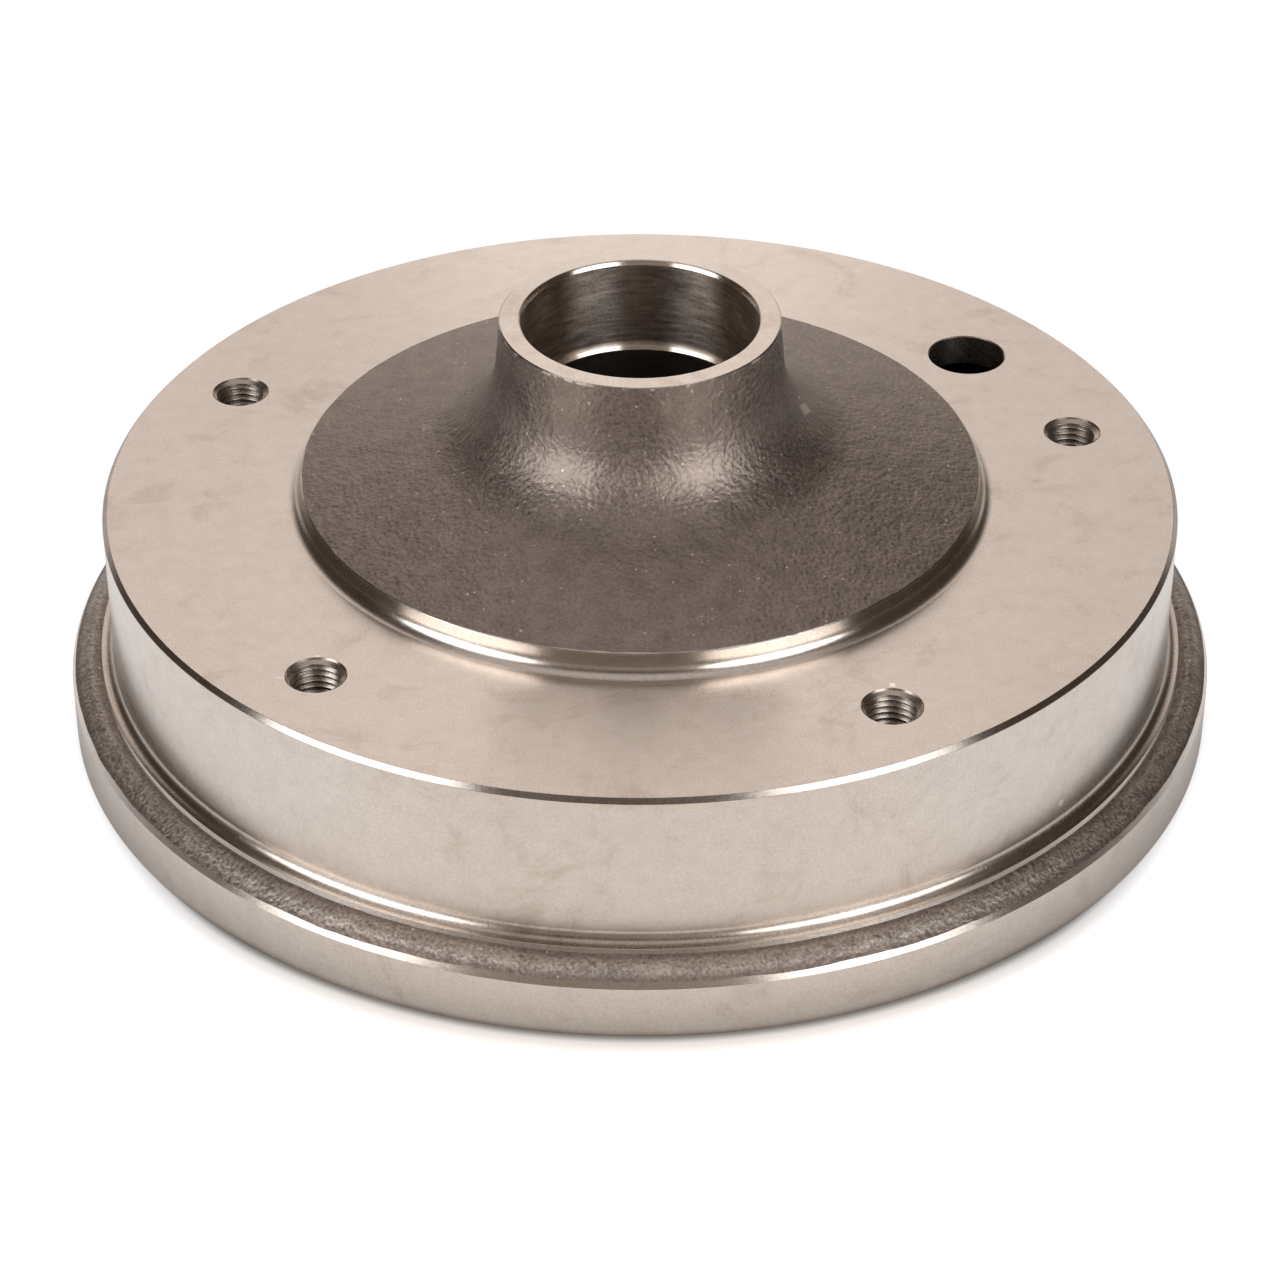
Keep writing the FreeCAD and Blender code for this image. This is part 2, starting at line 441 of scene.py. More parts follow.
# %% A plug with a helical thread
thread_pitch = 1.5
thread_rise = 0.4
thread_major = 6.0
crest_flat = thread_pitch / 4
root_flat = thread_pitch / 8
flank_run = (thread_pitch - crest_flat - root_flat) / 2
tooth = [(0, thread_minor), (crest_flat, thread_minor), (crest_flat + flank_run, thread_major),
         (crest_flat + flank_run + root_flat, thread_major)]


def tap():
    """Closed plug with a helical thread that runs past both ends of the hole."""
    start = boss_bottom - 2 * thread_pitch + thread_rise
    turns = math.ceil((above_face - start) / thread_pitch)
    rows = turns * len(tooth)
    bm = bmesh.new()

    def point(step, row):
        height, radius = tooth[row % len(tooth)]
        angle = 2 * math.pi * step / tool_steps
        rise = start + (row // len(tooth) + step / tool_steps) * thread_pitch + height
        return bm.verts.new((radius * math.cos(angle) * MM, radius * math.sin(angle) * MM, rise * MM))

    columns = [[point(step, row) for row in range(rows)] for step in range(tool_steps)]
    columns[0] += [point(0, row) for row in range(rows, rows + len(tooth))]
    columns.append(columns[0][len(tooth):])
    for left, right in zip(columns, columns[1:]):
        for row in range(rows - 1):
            bm.faces.new((left[row], right[row], right[row + 1], left[row + 1]))
    first, last = columns[0], columns[0][rows - 1:]
    lower_rim = [column[0] for column in columns] + first[len(tooth) - 1:0:-1]
    upper_rim = [column[rows - 1] for column in columns] + last[len(tooth) - 1:0:-1]
    for rim in (lower_rim, upper_rim):
        middle = sum((vert.co.z for vert in rim)) / len(rim)
        hub = bm.verts.new((0, 0, middle))
        for here, there in zip(rim, rim[1:] + rim[:1]):
            bm.faces.new((here, there, hub))
    return tool_object("tap", bm, TAPPED)


thread_tool = tap()
print("tap has", len(thread_tool.data.polygons), "faces")

# %% [markdown]
# ## Helpers for the materials
#
# Every finish below is the same iron, so what tells them apart is how the surface was made. One helper turns
# a colour that was picked on a screen into the linear numbers that the renderer works with. Another adds any
# node with its settings and links, for shader trees and geometry trees alike.

# %% Colour and node helpers
MULTIPLY = {"operation": "MULTIPLY"}
MULTIPLY_ADD = {"operation": "MULTIPLY_ADD"}
DIVIDE = {"operation": "DIVIDE"}
MAXIMUM = {"operation": "MAXIMUM"}
SOFT_STEP = {"interpolation_type": "SMOOTHSTEP"}
NUMBERS = {"data_type": "FLOAT"}
COLOURS = {"data_type": "RGBA"}


def linear(hex_colour):
    """Linear RGBA of an sRGB colour such as B8AFA3."""
    channels = [int(hex_colour[i:i + 2], 16) / 255 for i in (0, 2, 4)]
    return (*[c / 12.92 if c <= 0.04045 else ((c + 0.055) / 1.055) ** 2.4 for c in channels], 1.0)


def add(tree, kind, settings=None, inputs=None):
    """Adds a node, sets its settings, fills or links its inputs, and gives its outputs."""
    node = tree.nodes.new(kind)
    for name, value in (settings or {}).items():
        setattr(node, name, value)
    for socket, values in (inputs or {}).items():
        for value in values if isinstance(values, list) else [values]:
            if isinstance(value, bpy.types.NodeSocket):
                tree.links.new(value, node.inputs[socket])
            else:
                node.inputs[socket].default_value = value
    return node.outputs


def material(name):
    """A new node material with its shader and the piece's own coordinates in metres."""
    made = bpy.data.materials.new(name)
    made.use_nodes = True
    shader = made.node_tree.nodes["Principled BSDF"]
    place = add(made.node_tree, "ShaderNodeTexCoord")["Object"]
    return made, made.node_tree, shader, place


def round_axle(tree, place):
    """The place without its height, and its distance from the axle."""
    level = add(tree, "ShaderNodeVectorMath", MULTIPLY, {0: place, 1: (1, 1, 0)})[0]
    radius = add(tree, "ShaderNodeVectorMath", {"operation": "LENGTH"}, {0: level})["Value"]
    return level, radius


print("a mid grey iron is", [round(value, 3) for value in linear("A4978D")], "in linear light")

# %% [markdown]
# ## Knocks and flakes
#
# A part that has lain about carries a few single marks: a flake of skin and a dot knocked off beside
# the neck, burrs at the mouths of two holes, a faint patch on the face, a nick low on the barrel.
# Noise can't put a mark in one place, so each is a small box drawn on the surface, given by its
# middle, its two directions, its two half sizes in millimetres and how strongly it shows.

# %% Marks in given places
mark_edge = {"From Min": 1.2, "From Max": 0.8}
mark_depth = 1.3
cast_marks = [
    ((36.8, -1.3, 73.0), (0.31, 0.89, -0.34), (0.60, -0.46, -0.66), 2.4, 1.2, 0.6),
    ((35.6, 0.9, 74.6), (0.31, 0.89, -0.34), (0.60, -0.46, -0.66), 0.6, 0.4, 0.7),
]
cut_marks = [
    ((52.6, -80.5, face_height), (1, 0, 0), (0, 1, 0), 0.6, 0.7, 0.9),
    ((-68.0, -69.9, face_height), (1, 0, 0), (0, 1, 0), 0.4, 0.4, 0.6),
    ((-75.2, -77.9, face_height), (1, 0, 0), (0, 1, 0), 0.9, 0.5, 0.25),
    ((89.6, -81.4, 23.0), (0.1, 0.0, 1.0), (0.67, 0.74, -0.07), 0.8, 0.6, 0.9),
]


def flakes(tree, place, marks):
    """How strongly a surface point shows one of the marks, zero outside them all."""
    found = 0.0
    for middle, along, across, half_length, half_width, strength in marks:
        offset = add(tree, "ShaderNodeVectorMath", {"operation": "SUBTRACT"}, {
            0: place, 1: Vector(middle) * MM})[0]
        distance = add(tree, "ShaderNodeVectorMath", {"operation": "LENGTH"}, {0: offset})["Value"]
        widest = add(tree, "ShaderNodeMath", DIVIDE, {
            0: distance, 1: mark_depth * half_length * MM})[0]
        for direction, half in ((along, half_length), (across, half_width)):
            reach = add(tree, "ShaderNodeVectorMath", {"operation": "DOT_PRODUCT"}, {
                0: offset, 1: Vector(direction) / (half * MM)})["Value"]
            reach = add(tree, "ShaderNodeMath", {"operation": "ABSOLUTE"}, {0: reach})[0]
            widest = add(tree, "ShaderNodeMath", MAXIMUM, {0: reach, 1: widest})[0]
        inside = add(tree, "ShaderNodeMapRange", inputs={
            "Value": widest, **mark_edge, "To Max": strength})[0]
        found = add(tree, "ShaderNodeMath", MAXIMUM, {0: inside, 1: found})[0]
    return found


print(len(cast_marks), "marks on the cast skin,", len(cut_marks), "on the turned iron")

# %% [markdown]
# ## Iron that a tool has cut
#
# Grey iron cuts to a pale, slightly warm metal. A lathe leaves rings round the axle a fifth of a
# millimetre apart, too fine to show here, but they steer the light: a reflection stays sharp along
# the rings and smears across them. That is anisotropy, with the tangent turned across the rings. The
# rings that are drawn are half a millimetre to a millimetre wide, so that they show. They, a cloudy
# tone from the graphite in the iron, a satin grain and faint stains are noises, the first of them
# stretched round the axle. A painted texture could do the same, but it would need a seam and would
# blur close up.

# %% Cut iron
ring_arc = 4.0
height_share = 0.7
satin_mm = 0.5
satin_share = 0.65
noise_span = {"From Min": 0.35, "From Max": 0.65}
gloss_swing = 0.12
stain_mm = 14.0
stain_span = {"From Min": 0.5, "From Max": 0.75}
stain_colour = "9C8674"
nick_colour = "FAF6F0"
quarter_turn = 0.25


def turning_rings(tree, place, ring_mm):
    """Noise that runs round the axle and changes across the rings, on flat faces and walls alike."""
    level, radius = round_axle(tree, place)
    height = add(tree, "ShaderNodeSeparateXYZ", inputs={0: place})["Z"]
    across = add(tree, "ShaderNodeMath", MULTIPLY_ADD, {0: height, 1: height_share, 2: radius})[0]
    number = add(tree, "ShaderNodeMath", DIVIDE, {0: across, 1: ring_mm * MM})[0]
    upright = add(tree, "ShaderNodeCombineXYZ", inputs={"Z": number})[0]
    facing = add(tree, "ShaderNodeVectorMath", {"operation": "NORMALIZE"}, {0: level})[0]
    ring_place = add(tree, "ShaderNodeVectorMath", MULTIPLY_ADD, {
        0: facing, 1: (ring_arc, ring_arc, 0), 2: upright})[0]
    return add(tree, "ShaderNodeTexNoise", inputs={
        "Vector": ring_place, "Scale": 1.0, "Detail": 2.0, "Roughness": 0.6})[0]


def cut_iron(name, pale, dull, roughness, spread, ring_mm, ring_depth_mm, ring_tone, cloud_mm, stain,
             marks=()):
    """Metal with rings round the axle, a cloudy tone, faint stains and a gloss smeared across the rings."""
    made, tree, shader, place = material(name)
    rings = turning_rings(tree, place, ring_mm)
    clouds = add(tree, "ShaderNodeTexNoise", inputs={
        "Vector": place, "Scale": 1 / (cloud_mm * MM), "Detail": 4.0, "Roughness": 0.6})[0]
    satin = add(tree, "ShaderNodeTexNoise", inputs={
        "Vector": place, "Scale": 1 / (satin_mm * MM), "Detail": 2.0, "Roughness": 0.6})[0]
    blend = add(tree, "ShaderNodeMix", NUMBERS, {"Factor": satin_share, 2: clouds, 3: satin})[0]
    blend = add(tree, "ShaderNodeMix", NUMBERS, {"Factor": ring_tone, 2: blend, 3: rings})[0]
    tone = add(tree, "ShaderNodeMapRange", inputs={"Value": blend, **noise_span})[0]
    clean = add(tree, "ShaderNodeMix", COLOURS, {
        "Factor": tone, 6: linear(dull), 7: linear(pale)})[2]
    patches = add(tree, "ShaderNodeTexNoise", inputs={
        "Vector": place, "Scale": 1 / (stain_mm * MM), "Detail": 5.0, "Roughness": 0.7,
        "Distortion": 0.6})[0]
    stained = add(tree, "ShaderNodeMapRange", SOFT_STEP, {
        "Value": patches, **stain_span, "To Max": stain})[0]
    colour = add(tree, "ShaderNodeMix", COLOURS, {
        "Factor": stained, 6: clean, 7: linear(stain_colour)})[2]
    if marks:
        colour = add(tree, "ShaderNodeMix", COLOURS, {
            "Factor": flakes(tree, place, marks), 6: colour, 7: linear(nick_colour)})[2]
    uneven = add(tree, "ShaderNodeMix", NUMBERS, {"Factor": 0.5, 2: rings, 3: satin})[0]
    gloss = add(tree, "ShaderNodeMapRange", inputs={
        "Value": uneven, **noise_span, "To Min": roughness * (1 - gloss_swing),
        "To Max": roughness * (1 + gloss_swing)})[0]
    relief = add(tree, "ShaderNodeBump", inputs={
        "Height": rings, "Distance": ring_depth_mm * MM, "Strength": 1.0})[0]
    around_axle = add(tree, "ShaderNodeTangent", {"direction_type": "RADIAL", "axis": "Z"})[0]
    tree.links.new(colour, shader.inputs["Base Color"])
    tree.links.new(gloss, shader.inputs["Roughness"])
    tree.links.new(relief, shader.inputs["Normal"])
    tree.links.new(around_axle, shader.inputs["Tangent"])
    shader.inputs["Metallic"].default_value = 1.0
    shader.inputs["Anisotropic"].default_value = spread
    shader.inputs["Anisotropic Rotation"].default_value = quarter_turn
    return made


# %% [markdown]
# ## Six ways to cut the same iron
#
# Turned faces are the brightest, with long soft streaks of light. The tool's nose leaves the ring at
# the foot of the barrel duller, with marks that show. The bore is rougher still, so each softbox draws
# a broad band down it, broken by the rings. Honing leaves a fine grey wall. A drill and a tap tear a
# little and are hardly guided, so their walls are duller and less streaked.

# %% The cut finishes
# Name, pale and dull colour, roughness, spread of the gloss, width and depth of a ring, share of the
# rings in the tone, size of a cloud, strength of the stains, and the marks. Sizes in millimetres.
recipes = {
    TURNED: ("turned_grey_iron", "DAD1C9", "C9BFB6", 0.22, 0.8, 1.0, 0.005, 0.1, 4.0, 0.3, cut_marks),
    COARSE: ("coarsely_turned_grey_iron", "DCD2C9", "B5A99D", 0.25, 0.8, 0.55, 0.008, 0.4, 5.0, 0.4),
    BORED: ("bored_grey_iron", "D8CCC2", "A69A8F", 0.32, 0.88, 0.7, 0.024, 0.55, 6.0, 0.4),
    HONED: ("honed_grey_iron", "B8B0A8", "A49B93", 0.24, 0.6, 0.6, 0.004, 0.3, 20.0, 0.2),
    DRILLED: ("drilled_grey_iron", "C9BFB5", "B2A79D", 0.28, 0.5, 0.8, 0.0015, 0.2, 3.0, 0.3),
    TAPPED: ("tapped_grey_iron", "C6BBB2", "9F948A", 0.30, 0.3, 0.5, 0.0015, 0.2, 1.5, 0.3),
}
finishes = {number: cut_iron(*recipe) for number, recipe in recipes.items()}
print("cut finishes:", [iron.name for iron in finishes.values()])

# %% [markdown]
# ## Iron as it left the sand
#
# The mould was packed sand, so the skin that it leaves is a print of sand, under a thin dark oxide. The
# eye doesn't see single grains, which are a third of a millimetre, but crumbs of a few of them and low
# lumps. Each tips the surface a little, which breaks a highlight into sparks. The relief is a cell
# pattern with rounded edges for the crumbs, with places bent by a noise so that no cell is neat, and
# three sizes of noise. They are as coarse as they need to be to show. Real displacement would need
# millions of faces for the same effect.

# %% Relief of the sand
crumb_mm = 1.2
grain_mm = 1.8
fine_mm = 0.7
lump_mm = 5.0
crumb_height = -0.10
grain_height = 0.11
fine_height = 0.062
lump_height = 0.2


def sand_relief(tree, place):
    """Height of the sand's print in millimetres, its bent places, its fine noise and its lumps."""
    bend = add(tree, "ShaderNodeTexNoise", inputs={
        "Vector": place, "Scale": 1 / (crumb_mm * MM), "Detail": 2.0})["Color"]
    bent = add(tree, "ShaderNodeVectorMath", MULTIPLY_ADD, {
        0: bend, 1: (crumb_mm * MM, crumb_mm * MM, crumb_mm * MM), 2: place})[0]
    crumbs = add(tree, "ShaderNodeTexVoronoi", {"feature": "SMOOTH_F1"}, {
        "Vector": bent, "Scale": 1 / (crumb_mm * MM), "Smoothness": 0.3})["Distance"]
    grain, fine, lumps = [add(tree, "ShaderNodeTexNoise", inputs={
        "Vector": place, "Scale": 1 / (size * MM), "Detail": detail, "Roughness": 0.55})[0]
        for size, detail in ((grain_mm, 1.0), (fine_mm, 2.0), (lump_mm, 3.0))]
    height = 0.0
    for layer, rise in ((crumbs, crumb_height), (grain, grain_height), (fine, fine_height),
                        (lumps, lump_height)):
        height = add(tree, "ShaderNodeMath", MULTIPLY_ADD, {0: layer, 1: rise, 2: height})[0]
    return height, bent, fine, lumps


print("relief from", fine_mm, "to", lump_mm, "mm wide")

# %% [markdown]
# ## Where the dark skin is gone
#
# Where a grain was knocked off, bare iron shows as a pale speck: one cell in four of a cell pattern has one.
# The turning tool broke small chips out of the skin at the nose's lip. Round the middle of the ledge's width
# a pale band is painted, unevenly: a painted highlight that stands in for the soft sheen of light there.

# %% Specks, chips and the highlight painted on the ledge
speck_mm = 2.0
speck_share = 0.76
speck_edge = {"From Min": 0.16, "From Max": 0.08}
lip_depth = (0.9, 0.5)
chip_span = {"From Min": 0.52, "From Max": 0.56}
ledge_highlight_inside = (124.8, 126.4)
ledge_highlight_outside = (129.8, 128.4)
ledge_highlight_share = {"From Min": 0.38, "From Max": 0.62, "To Min": 0.15, "To Max": 0.6}


def bare_places(tree, place, bent, lumps):
    """How bare the iron is at single specks, at chips on the lip and at the marks."""
    cells = add(tree, "ShaderNodeTexVoronoi", inputs={"Vector": bent, "Scale": 1 / (speck_mm * MM)})
    near = add(tree, "ShaderNodeMapRange", inputs={"Value": cells["Distance"], **speck_edge})[0]
    chance = add(tree, "ShaderNodeSeparateColor", inputs={0: cells["Color"]})[0]
    chosen = add(tree, "ShaderNodeMath", {"operation": "GREATER_THAN"}, {
        0: chance, 1: speck_share})[0]
    speck = add(tree, "ShaderNodeMath", MULTIPLY, {0: near, 1: chosen})[0]
    height = add(tree, "ShaderNodeSeparateXYZ", inputs={0: place})["Z"]
    at_lip = add(tree, "ShaderNodeMapRange", inputs={
        "Value": height, "From Min": (nose_top - lip_depth[0]) * MM,
        "From Max": (nose_top - lip_depth[1]) * MM})[0]
    broken = add(tree, "ShaderNodeMapRange", inputs={"Value": lumps, **chip_span})[0]
    chip = add(tree, "ShaderNodeMath", MULTIPLY, {0: at_lip, 1: broken})[0]
    bare = add(tree, "ShaderNodeMath", MAXIMUM, {0: speck, 1: chip})[0]
    return add(tree, "ShaderNodeMath", MAXIMUM, {
        0: bare, 1: flakes(tree, place, cast_marks)})[0]


def painted_ledge_highlight(tree, place, mottle):
    """How strongly a painted highlight pales the ledge, from zero at its edges, unevenly."""
    radius = round_axle(tree, place)[1]
    inside, outside = [add(tree, "ShaderNodeMapRange", SOFT_STEP, {
        "Value": radius, "From Min": start * MM, "From Max": end * MM})[0]
        for start, end in (ledge_highlight_inside, ledge_highlight_outside)]
    painted_band = add(tree, "ShaderNodeMath", MULTIPLY, {0: inside, 1: outside})[0]
    share = add(tree, "ShaderNodeMapRange", inputs={"Value": mottle, **ledge_highlight_share})[0]
    return add(tree, "ShaderNodeMath", MULTIPLY, {0: painted_band, 1: share})[0]


# %% Sand-cast iron
mottle_share = 0.35
mottle_span = {"From Min": 0.34, "From Max": 0.66}
sand_gloss = {"To Min": 0.40, "To Max": 0.52}


def sand_cast_iron(name, pale, dark, bare):
    """Dark oxidised skin with the print of sand, a cloudy tone, bare iron where the skin is gone and a
    painted highlight on the ledge.
    """
    made, tree, shader, place = material(name)
    height, bent, fine, lumps = sand_relief(tree, place)
    relief = add(tree, "ShaderNodeBump", inputs={
        "Height": height, "Distance": MM, "Strength": 1.0})[0]
    mottle = add(tree, "ShaderNodeMix", NUMBERS, {"Factor": mottle_share, 2: fine, 3: lumps})[0]
    tone = add(tree, "ShaderNodeMapRange", inputs={"Value": mottle, **mottle_span})[0]
    colour = add(tree, "ShaderNodeMix", COLOURS, {
        "Factor": tone, 6: linear(dark), 7: linear(pale)})[2]
    # The pale band on the ledge is a painted highlight, and the specks, chips and marks are bare iron. Both
    # take the bare colour.
    for gone in (painted_ledge_highlight(tree, place, mottle), bare_places(tree, place, bent, lumps)):
        colour = add(tree, "ShaderNodeMix", COLOURS, {"Factor": gone, 6: colour, 7: linear(bare)})[2]
    gloss = add(tree, "ShaderNodeMapRange", inputs={
        "Value": fine, **noise_span, **sand_gloss})[0]
    tree.links.new(colour, shader.inputs["Base Color"])
    tree.links.new(gloss, shader.inputs["Roughness"])
    tree.links.new(relief, shader.inputs["Normal"])
    shader.inputs["Metallic"].default_value = 1.0
    return made


finishes[CAST] = sand_cast_iron("sand_cast_grey_iron", "A4978D", "807570", "E0D6CC")
print(len(finishes), "finishes of one iron")

# %% [markdown]
# ## The casting as a node tree
#
# The drum could be spun with a modifier and cut by hand, but the whole of it follows rules: one section
# round one axis, five holes on one circle. So one tree makes it, with its sizes as named inputs. First
# the section goes round a circle, and each face takes the finish of the edge that it came from.

# %% The section goes round
tree = bpy.data.node_groups.new("iron_casting", "GeometryNodeTree")
tree.interface.new_socket("Geometry", in_out="INPUT", socket_type="NodeSocketGeometry")
tree.interface.new_socket("Geometry", in_out="OUTPUT", socket_type="NodeSocketGeometry")
input_kinds = {
    "Steps round": "Int", "Rail radius": "Float", "Sides": "Int",
    "Wave height": "Float", "Wave length": "Float", "Ripple height": "Float", "Ripple length": "Float",
    "Bolt circle": "Float", "Bolt count": "Int", "First bolt": "Float", "Access place": "Vector",
    "Crisp angle": "Float", "Boss": "Object", "Tap": "Object", "Countersink": "Object",
    "Far bevel": "Object", "Access drill": "Object"}
sockets = {name: tree.interface.new_socket(name, in_out="INPUT", socket_type="NodeSocket" + kind)
           for name, kind in input_kinds.items()}
given = add(tree, "NodeGroupInput")

rail = add(tree, "GeometryNodeCurvePrimitiveCircle", inputs={
    "Resolution": given["Steps round"], "Radius": given["Rail radius"]})["Curve"]
profile = add(tree, "GeometryNodeMeshToCurve", inputs={"Mesh": given["Geometry"]})["Curve"]
spun = add(tree, "GeometryNodeCurveToMesh", inputs={"Curve": rail, "Profile Curve": profile})["Mesh"]

index = add(tree, "GeometryNodeInputIndex")[0]
side = add(tree, "FunctionNodeIntegerMath", {"operation": "MODULO"}, {
    0: index, 1: given["Sides"]})[0]
finish = add(tree, "GeometryNodeInputNamedAttribute", {"data_type": "INT"}, {
    "Name": "finish"})["Attribute"]
finish_there = add(tree, "GeometryNodeSampleIndex", {"data_type": "INT", "domain": "EDGE"}, {
    "Geometry": given["Geometry"], "Value": finish, "Index": side})["Value"]
marked = add(tree, "GeometryNodeStoreNamedAttribute", {"data_type": "INT", "domain": "FACE"}, {
    "Geometry": spun, "Name": "finish", "Value": finish_there})["Geometry"]
print(len(sockets), "named inputs")

# %% [markdown]
# ## The cast skin wanders
#
# A mould's wall bulges by a tenth or two of a millimetre over a centimetre, and ripples finer than
# that. Bump alone would leave the outline and the borders of the cast skin dead straight, so two noises
# move the points themselves, each along its own vector of the section, turned round the axle with it.

# %% Two noises move the skin
place = add(tree, "GeometryNodeInputPosition")[0]
wander = add(tree, "GeometryNodeInputNamedAttribute", {"data_type": "FLOAT_VECTOR"}, {
    "Name": "wander"})["Attribute"]
level = add(tree, "ShaderNodeVectorMath", MULTIPLY, {0: place, 1: (1, 1, 0)})[0]
outward = add(tree, "ShaderNodeVectorMath", {"operation": "NORMALIZE"}, {0: level})[0]
parts = add(tree, "ShaderNodeSeparateXYZ", inputs={0: wander})
upward = add(tree, "ShaderNodeCombineXYZ", inputs={"Z": parts["Z"]})[0]
along = add(tree, "ShaderNodeVectorMath", {"operation": "SCALE"}, {
    0: outward, "Scale": parts["X"]})[0]
direction = add(tree, "ShaderNodeVectorMath", {"operation": "ADD"}, {0: along, 1: upward})[0]

heights = []
for name in ("Wave", "Ripple"):
    scale = add(tree, "ShaderNodeMath", DIVIDE, {
        0: 1.0, 1: given[name + " length"]})[0]
    noise = add(tree, "ShaderNodeTexNoise", {"noise_dimensions": "3D"}, {
        "Vector": place, "Scale": scale, "Detail": 1.0})[0]
    centred = add(tree, "ShaderNodeMath", {"operation": "SUBTRACT"}, {0: noise, 1: 0.5})[0]
    heights.append(add(tree, "ShaderNodeMath", MULTIPLY, {0: centred, 1: given[name + " height"]})[0])
height = add(tree, "ShaderNodeMath", {"operation": "ADD"}, {0: heights[0], 1: heights[1]})[0]
offset = add(tree, "ShaderNodeVectorMath", {"operation": "SCALE"}, {
    0: direction, "Scale": height})[0]
skin = add(tree, "GeometryNodeSetPosition", inputs={"Geometry": marked, "Offset": offset})[0]
print(len(heights), "noises move the skin")

# %% [markdown]
# ## Bosses and holes
#
# The bolt circle is a real circle of five points, and each tool stands on every one of them as an
# instance. One union joins the bosses to the casting, and one difference cuts all the holes, as the
# foundry and the drill would. The casting's faces keep the finish that they had, and the walls of a
# hole take the finish of the tool that cut them.

# %% Bosses joined on, holes cut
turned_by = add(tree, "ShaderNodeCombineXYZ", inputs={"Z": given["First bolt"]})[0]
circle = add(tree, "GeometryNodeMeshCircle", inputs={
    "Vertices": given["Bolt count"], "Radius": given["Bolt circle"]})[0]
bolt_places = add(tree, "GeometryNodeTransform", inputs={
    "Geometry": circle, "Rotation": turned_by})[0]
at_bolts = {}
for name in ("Boss", "Tap", "Countersink", "Far bevel"):
    solid = add(tree, "GeometryNodeObjectInfo", inputs={"Object": given[name]})["Geometry"]
    at_bolts[name] = add(tree, "GeometryNodeInstanceOnPoints", inputs={
        "Points": bolt_places, "Instance": solid})[0]
drill = add(tree, "GeometryNodeObjectInfo", inputs={"Object": given["Access drill"]})["Geometry"]
drill_there = add(tree, "GeometryNodeTransform", inputs={
    "Geometry": drill, "Translation": given["Access place"]})[0]
joined = add(tree, "GeometryNodeMeshBoolean", {"operation": "UNION", "solver": "MANIFOLD"}, {
    "Mesh 2": [skin, at_bolts["Boss"]]})[0]
cut = add(tree, "GeometryNodeMeshBoolean", {"operation": "DIFFERENCE", "solver": "MANIFOLD"}, {
    "Mesh 1": joined,
    "Mesh 2": [at_bolts["Tap"], at_bolts["Countersink"], at_bolts["Far bevel"], drill_there]})[0]
print("tools on the bolt circle:", list(at_bolts))

# %% [markdown]
# ## Crisp edges and finishes
#
# The arcs and the skin are shaded smooth, and an edge that turns by more than fifteen degrees stays
# crisp. The thread is the exception: a tap's crests are burnished, so its edges stay soft. Last, each
# face takes the material of its finish.

# %% Shading and materials
bend = add(tree, "GeometryNodeInputMeshEdgeAngle")["Unsigned Angle"]
sharp = add(tree, "FunctionNodeCompare", {"data_type": "FLOAT", "operation": "GREATER_THAN"}, {
    0: bend, 1: given["Crisp angle"]})[0]
not_thread = add(tree, "FunctionNodeCompare", {"data_type": "INT", "operation": "NOT_EQUAL"}, {
    2: finish, 3: TAPPED})[0]
crisp = add(tree, "FunctionNodeBooleanMath", {"operation": "AND"}, {0: sharp, 1: not_thread})[0]
smooth = add(tree, "GeometryNodeSetShadeSmooth", {"domain": "FACE"}, {
    "Geometry": cut, "Shade Smooth": True})[0]
shaded = add(tree, "GeometryNodeSetShadeSmooth", {"domain": "EDGE"}, {
    "Geometry": smooth, "Selection": crisp, "Shade Smooth": False})[0]
dressed = add(tree, "GeometryNodeRealizeInstances", inputs={"Geometry": shaded})[0]
for number, iron in finishes.items():
    chosen = add(tree, "FunctionNodeCompare", {"data_type": "INT", "operation": "EQUAL"}, {
        2: finish, 3: number})[0]
    dressed = add(tree, "GeometryNodeSetMaterial", inputs={
        "Geometry": dressed, "Selection": chosen, "Material": iron})[0]
add(tree, "NodeGroupOutput", inputs={0: dressed})
print("tree has", len(tree.nodes), "nodes")

# %% The tree at work, then a plain mesh
steps_round = 360
bolt_turn = 12.6
crisp_degrees = 15
wave_height = 0.35
wave_length = 12
ripple_height = 0.12
ripple_length = 4
access_place = mounts["access_hole"]["pos_m"]
modifier = casting.modifiers.new("iron_casting", "NODES")
modifier.node_group = tree
values = {
    "Steps round": steps_round, "Rail radius": rail_radius * MM, "Sides": count,
    "Wave height": wave_height * MM, "Wave length": wave_length * MM,
    "Ripple height": ripple_height * MM, "Ripple length": ripple_length * MM,
    "Bolt circle": bolt_circle * MM, "Bolt count": bolt_count, "First bolt": math.radians(bolt_turn),
    "Access place": (access_place[0], access_place[1], 0), "Crisp angle": math.radians(crisp_degrees),
    "Boss": boss, "Tap": thread_tool, "Countersink": mouth, "Far bevel": far_mouth,
    "Access drill": access_drill}
for name, value in values.items():
    modifier[sockets[name].identifier] = value
weighted = casting.modifiers.new("flat_faces_stay_flat", "WEIGHTED_NORMAL")
weighted.keep_sharp = True
bpy.context.view_layer.update()
made = casting.evaluated_get(bpy.context.evaluated_depsgraph_get())
finished = bpy.data.meshes.new_from_object(made)
casting.modifiers.clear()
casting.data = finished
triangles = sum(len(face.vertices) - 2 for face in finished.polygons)
print("casting has", len(finished.vertices), "vertices and", triangles, "triangles")

# %% [markdown]
# ## The lit table
#
# The drum stands on a plain white table that is lit from above. The table glows a little, which keeps the
# shadows light: brightly where it is looked at, and less in the metal's mirror, where only a ring of it
# round the drum is bright. Its glow is a little warmer in front. Close to the rim a soft contact shadow is
# painted into its colour and its glow, reaching farther out at the sides. Distance and direction from the
# axle draw it all.

